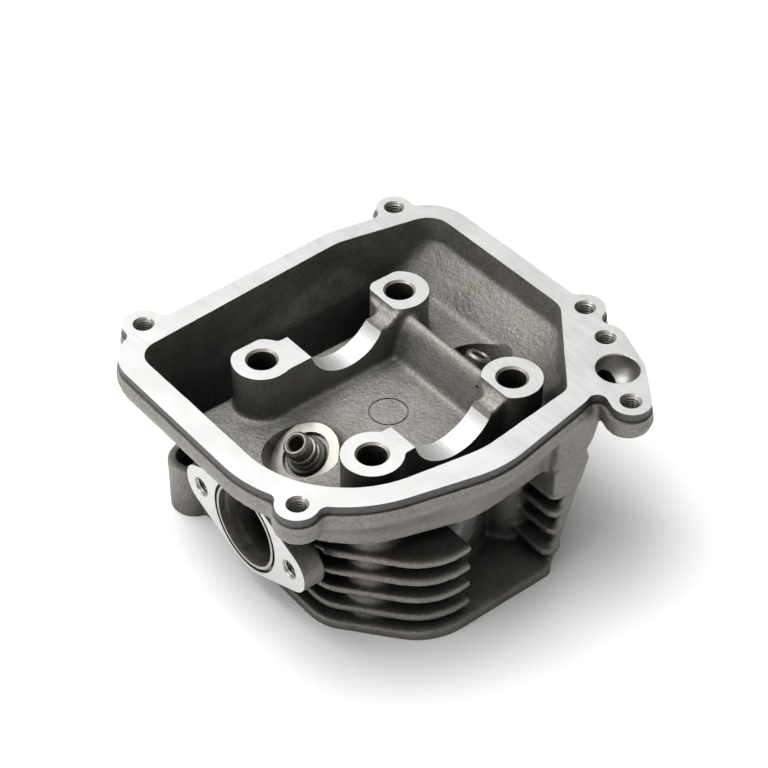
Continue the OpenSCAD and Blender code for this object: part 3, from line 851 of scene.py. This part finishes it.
# radius and depth below the tip: nose, groove, collar, groove, shank
FROM_TIP = [(3.5, 0), (4.25, 0.75), (4.25, 3.6), (3.8, 3.8), (3.8, 4.3), (4.65, 4.5), (4.85, 4.75),
            (4.85, 5.6), (4.6, 5.9), (4.1, 6.1), (4.1, 7.0), (4.75, 7.2), (GUIDE_R, 7.5),
            (GUIDE_R, GUIDE_L - 0.8), (4.4, GUIDE_L)]
STEM_WAY = [(3.0, TIP_H), (STEM_R, TIP_H - 0.5), (STEM_R, TIP_H - GUIDE_L + 0.4), (2.9, TIP_H - GUIDE_L)]
low = SPRING_H - CLIP_T
guides, clips = [], []
for side, (seat, up) in zip(("intake", "exhaust"), VALVES):
    shank = [(r, TIP_H - down) for r, down in FROM_TIP[::-1]]
    guides.append(lathe(seat, up, shank + STEM_WAY, 96, side + "_guide_turned", tube=True))
    clips.append(lathe(seat, up, [(GUIDE_R, low), (CLIP_R - CLIP_EDGE, low), (CLIP_R, low + CLIP_EDGE),
                                  (CLIP_R, low + CLIP_T - CLIP_EDGE), (CLIP_R - CLIP_EDGE, low + CLIP_T),
                                  (GUIDE_R, low + CLIP_T)], 96, side + "_clip_turned", tube=True))
    for o, n, kind in ((guides[-1], side + "_guide", "guide"), (clips[-1], side + "_guide_clip", "clip")):
        o.data.transform(Matrix.Scale(MM, 4))
        for f in o.data.polygons:
            f.use_smooth = True
        o.data.set_sharp_from_angle(angle=math.radians(25))
        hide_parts(n)
        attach(o, "root")
rings = [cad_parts[n] for n in ("intake_seat_ring", "exhaust_seat_ring")]

# ---------------------------------------------------------------- materials


def material(name):
    m = bpy.data.materials.new(name)
    m.use_nodes = True
    nt = m.node_tree
    nt.nodes.clear()
    out = nt.nodes.new("ShaderNodeOutputMaterial")
    bsdf = nt.nodes.new("ShaderNodeBsdfPrincipled")
    nt.links.new(bsdf.outputs[0], out.inputs[0])
    return m, nt, bsdf


def node(nt, kind, inputs=None, **props):
    n = nt.nodes.new(kind)
    for k, v in props.items():
        setattr(n, k, v)
    for k, v in (inputs or {}).items():
        if isinstance(v, bpy.types.NodeSocket):
            nt.links.new(v, n.inputs[k])
        else:
            n.inputs[k].default_value = v
    return n


def noise(nt, at, scale, detail=3.0, rough=0.55, **props):
    inputs = {"Vector": at, "Scale": scale, "Detail": detail, "Roughness": rough}
    return node(nt, "ShaderNodeTexNoise", inputs, **props).outputs[0]


def spread(nt, value, a, b, c=0.0, d=1.0):
    inputs = {"Value": value, "From Min": a, "From Max": b, "To Min": c, "To Max": d}
    return node(nt, "ShaderNodeMapRange", inputs, clamp=True).outputs[0]


def mixed(nt, fac, a, b):
    n = node(nt, "ShaderNodeMix", {0: fac}, data_type="RGBA")
    for i, v in ((6, a), (7, b)):
        if isinstance(v, bpy.types.NodeSocket):
            nt.links.new(v, n.inputs[i])
        else:
            n.inputs[i].default_value = (*v, 1)
    return n.outputs[2]


def maths(nt, op, a, b=0.0):
    n = nt.nodes.new("ShaderNodeMath")
    n.operation = op
    for i, v in enumerate((a, b)):
        if isinstance(v, bpy.types.NodeSocket):
            nt.links.new(v, n.inputs[i])
        else:
            n.inputs[i].default_value = v
    return n.outputs[0]


def bumped(nt, bsdf, *layers):
    """Stacks bump layers of (height, strength, distance in metres)."""
    last = None
    for height, strength, distance in layers:
        n = node(nt, "ShaderNodeBump", {"Height": height, "Strength": strength, "Distance": distance})
        if last is not None:
            nt.links.new(last, n.inputs["Normal"])
        last = n.outputs[0]
    nt.links.new(last, bsdf.inputs["Normal"])


def painted_recess_shade(nt, base, dark, reach=0.026):
    """Painted shade in the recesses: the colour goes towards dark where ambient occlusion finds the surface
    hemmed in.
    """
    sky = node(nt, "ShaderNodeAmbientOcclusion", {"Distance": reach}, samples=6).outputs["AO"]
    return mixed(nt, spread(nt, sky, 0.16, 0.80), dark, base)


def cast_material(name="cast_aluminium", painted_shade_keep=1.0):
    m, nt, bsdf = material(name)
    at = node(nt, "ShaderNodeTexCoord").outputs["Object"]
    stain = noise(nt, at, 38.0, 5.0, 0.62)
    patch = noise(nt, at, 130.0, 4.0, 0.6)
    sand = noise(nt, at, 1150.0, 2.0, 0.65)
    pits = noise(nt, at, 620.0, 3.0, 0.7)
    base = mixed(nt, spread(nt, patch, 0.35, 0.68), (0.185, 0.177, 0.162), (0.258, 0.249, 0.231))
    base = mixed(nt, spread(nt, stain, 0.5, 0.78), base, (0.172, 0.150, 0.124))
    base = mixed(nt, spread(nt, sand, 0.4, 0.72, 0.0, 0.6), base, (0.34, 0.33, 0.31))
    # painted shade: a value under 1 darkens the whole colour towards near black
    base = mixed(nt, painted_shade_keep, (0.05, 0.05, 0.053), base)
    # painted shade: the cast colour darkened in recesses, fin gaps and the chain well
    base = painted_recess_shade(nt, base, (0.018, 0.017, 0.015))
    nt.links.new(base, bsdf.inputs["Base Color"])
    nt.links.new(spread(nt, patch, 0.3, 0.75, 0.46, 0.62), bsdf.inputs["Roughness"])
    bsdf.inputs["Metallic"].default_value = 0.7
    bumped(nt, bsdf, (pits, 0.7, 0.0005), (sand, 0.7, 0.00016))
    return m


def milled_material():
    m, nt, bsdf = material("milled_aluminium")
    at = node(nt, "ShaderNodeTexCoord").outputs["Object"]
    turn = node(nt, "ShaderNodeMapping", {"Vector": at, "Location": (0.05, 0.11, 0.0)}).outputs[0]
    marks = node(nt, "ShaderNodeTexWave", {"Vector": turn, "Scale": 420.0, "Distortion": 1.2, "Detail": 2.0},
                 wave_type="RINGS", rings_direction="Z").outputs[1]
    drawn = node(nt, "ShaderNodeMapping", {"Vector": at, "Scale": (1.0, 0.12, 1.0)}).outputs[0]
    streak = noise(nt, drawn, 900.0)
    cloud = noise(nt, at, 60.0, 4.0)
    base = mixed(nt, spread(nt, cloud, 0.35, 0.7), (0.58, 0.58, 0.572), (0.66, 0.66, 0.655))
    base = mixed(nt, spread(nt, streak, 0.55, 0.8, 0.0, 0.35), base, (0.50, 0.495, 0.48))
    nt.links.new(base, bsdf.inputs["Base Color"])
    nt.links.new(spread(nt, streak, 0.3, 0.7, 0.42, 0.55), bsdf.inputs["Roughness"])
    bsdf.inputs["Metallic"].default_value = 0.85
    bumped(nt, bsdf, (marks, 0.10, 0.00004), (streak, 0.12, 0.00003))
    return m


def bored_material():
    m, nt, bsdf = material("bored_aluminium")
    at = node(nt, "ShaderNodeTexCoord").outputs["Object"]
    lines = node(nt, "ShaderNodeTexWave", {"Vector": at, "Scale": 700.0, "Distortion": 0.6, "Detail": 1.0},
                 wave_type="BANDS", bands_direction="Z").outputs[1]
    cloud = noise(nt, at, 220.0, 4.0)
    base = mixed(nt, spread(nt, cloud, 0.3, 0.72), (0.32, 0.30, 0.27), (0.50, 0.48, 0.45))
    # painted shade: the bored colour darkened in recesses
    base = painted_recess_shade(nt, base, (0.03, 0.027, 0.023), 0.012)
    nt.links.new(base, bsdf.inputs["Base Color"])
    nt.links.new(spread(nt, cloud, 0.3, 0.7, 0.3, 0.45), bsdf.inputs["Roughness"])
    bsdf.inputs["Metallic"].default_value = 0.9
    bumped(nt, bsdf, (lines, 0.2, 0.00004))
    return m


def thread_material():
    m, nt, bsdf = material("tapped_aluminium")
    at = node(nt, "ShaderNodeTexCoord").outputs["Object"]
    cloud = noise(nt, at, 700.0, 3.0)
    base = mixed(nt, spread(nt, cloud, 0.3, 0.7), (0.36, 0.34, 0.31), (0.56, 0.55, 0.52))
    # painted shade: the tapped colour darkened down the holes
    base = painted_recess_shade(nt, base, (0.03, 0.028, 0.025), 0.006)
    nt.links.new(base, bsdf.inputs["Base Color"])
    nt.links.new(spread(nt, cloud, 0.3, 0.7, 0.26, 0.42), bsdf.inputs["Roughness"])
    bsdf.inputs["Metallic"].default_value = 0.95
    bumped(nt, bsdf, (cloud, 0.2, 0.00003))
    return m


def chamber_material():
    m, nt, bsdf = material("chamber_aluminium")
    at = node(nt, "ShaderNodeTexCoord").outputs["Object"]
    rings = node(nt, "ShaderNodeTexWave", {"Vector": at, "Scale": 380.0, "Distortion": 0.4, "Detail": 1.0},
                 wave_type="RINGS", rings_direction="Z").outputs[1]
    cloud = noise(nt, at, 90.0, 4.0)
    base = mixed(nt, spread(nt, cloud, 0.3, 0.72), (0.42, 0.405, 0.38), (0.56, 0.55, 0.53))
    # painted shade: the chamber colour darkened in recesses
    base = painted_recess_shade(nt, base, (0.06, 0.055, 0.05), 0.014)
    nt.links.new(base, bsdf.inputs["Base Color"])
    nt.links.new(spread(nt, cloud, 0.3, 0.7, 0.34, 0.48), bsdf.inputs["Roughness"])
    bsdf.inputs["Metallic"].default_value = 0.85
    bumped(nt, bsdf, (rings, 0.15, 0.00005), (cloud, 0.1, 0.0002))
    return m


def turned_material(name, dark, light, grain, rough, metallic):
    """A lathe-turned part: fine rings with a stain."""
    m, nt, bsdf = material(name)
    at = node(nt, "ShaderNodeTexCoord").outputs["Object"]
    lines = node(nt, "ShaderNodeTexWave", {"Vector": at, "Scale": grain, "Distortion": 0.8, "Detail": 1.5},
                 wave_type="BANDS", bands_direction="Z").outputs[1]
    cloud = noise(nt, at, 350.0, 4.0)
    base = mixed(nt, spread(nt, cloud, 0.3, 0.7), dark, light)
    nt.links.new(base, bsdf.inputs["Base Color"])
    nt.links.new(spread(nt, cloud, 0.3, 0.7, rough, rough + 0.16), bsdf.inputs["Roughness"])
    bsdf.inputs["Metallic"].default_value = metallic
    bumped(nt, bsdf, (lines, 0.18, 0.00003), (cloud, 0.12, 0.00005))
    return m


# the last finish is the cast aluminium darkened for the band round the outside of the cover flange: painted
# shade
finishes = [cast_material(), milled_material(), bored_material(), thread_material(), chamber_material(),
            cast_material("flange_edge_painted_shade", 0.3)]
for o in pieces.values():
    for i, m in enumerate(finishes):
        o.data.materials[i] = m
guide_steel = turned_material("guide_sintered_steel", (0.16, 0.145, 0.125), (0.27, 0.25, 0.225),
                              900.0, 0.34, 0.9)
clip_steel = turned_material("clip_blued_steel", (0.05, 0.05, 0.052), (0.10, 0.098, 0.095), 1200.0, 0.36, 0.9)
ring_steel = turned_material("seat_ring_steel", (0.30, 0.29, 0.275), (0.44, 0.43, 0.41), 1100.0, 0.26, 0.95)
for objects, m in ((guides, guide_steel), (clips, clip_steel), (rings, ring_steel)):
    for o in objects:
        o.data.materials.clear()
        o.data.materials.append(m)

# ---------------------------------------------------------------- floor, light, camera

# in metres, and a hair under the gasket face
floor = make("floor", corners(-3, -3, 3, 3, -0.0002), [(0, 1, 3, 2)])
floor_white, _, bsdf = material("floor_white")
bsdf.inputs["Base Color"].default_value = (0.95, 0.95, 0.95, 1)
bsdf.inputs["Roughness"].default_value = 0.9
floor.data.materials.append(floor_white)
floor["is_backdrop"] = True


def studio_world():
    """Soft dome: bright overhead and to the left, dim round the horizon."""
    world = bpy.data.worlds.new("studio")
    scene.world = world
    world.use_nodes = True
    nt = world.node_tree
    bg = nt.nodes["Background"]
    way = node(nt, "ShaderNodeTexCoord").outputs["Generated"]
    side = node(nt, "ShaderNodeVectorMath", {0: way, 1: (-0.30, 0.38, 0.87)}, operation="DOT_PRODUCT")
    lit = spread(nt, side.outputs["Value"], -0.1, 1.0, 0.04, 1.0)
    # the backdrop itself is plain white
    seen = node(nt, "ShaderNodeLightPath").outputs["Is Camera Ray"]
    nt.links.new(maths(nt, "MAXIMUM", lit, seen), bg.inputs[1])
    bg.inputs[0].default_value = (1.0, 0.995, 0.985, 1)


def softbox(name, at, aim, size, power):
    li = bpy.data.lights.new(name, "AREA")
    li.shape, li.size, li.size_y, li.energy = "RECTANGLE", size[0], size[1], power
    o = linked(name, li)
    o.location = at
    o.rotation_mode = "QUATERNION"
    o.rotation_quaternion = (Vector(aim) - Vector(at)).to_track_quat("-Z", "Y")


studio_world()
centre = Vector((0, 0, 0.05))
softbox("top_light", (-0.15, 0.32, 1.10), centre, (0.9, 0.9), 13.5)
softbox("left_light", (-0.95, 0.1, 0.5), centre, (0.5, 0.6), 2.2)
scene.view_settings.view_transform = "Standard"

# the camera of the photo, solved from the four stud towers
AIM, DISTANCE = Vector((-0.005124, -0.005193, 0.062)), 0.638716
back = Vector((-0.4706, -0.5859, 0.6598)).normalized()
cam = bpy.data.cameras.new("camera")
cam.sensor_width, cam.lens = 36.0, 99.56
camera = linked("camera", cam)
camera.location = AIM + back * DISTANCE
camera.rotation_mode = "QUATERNION"
camera.rotation_quaternion = (-back).to_track_quat("-Z", "Y")
cam.clip_start, cam.clip_end = 0.01, 20
scene.camera = camera

low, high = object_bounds()
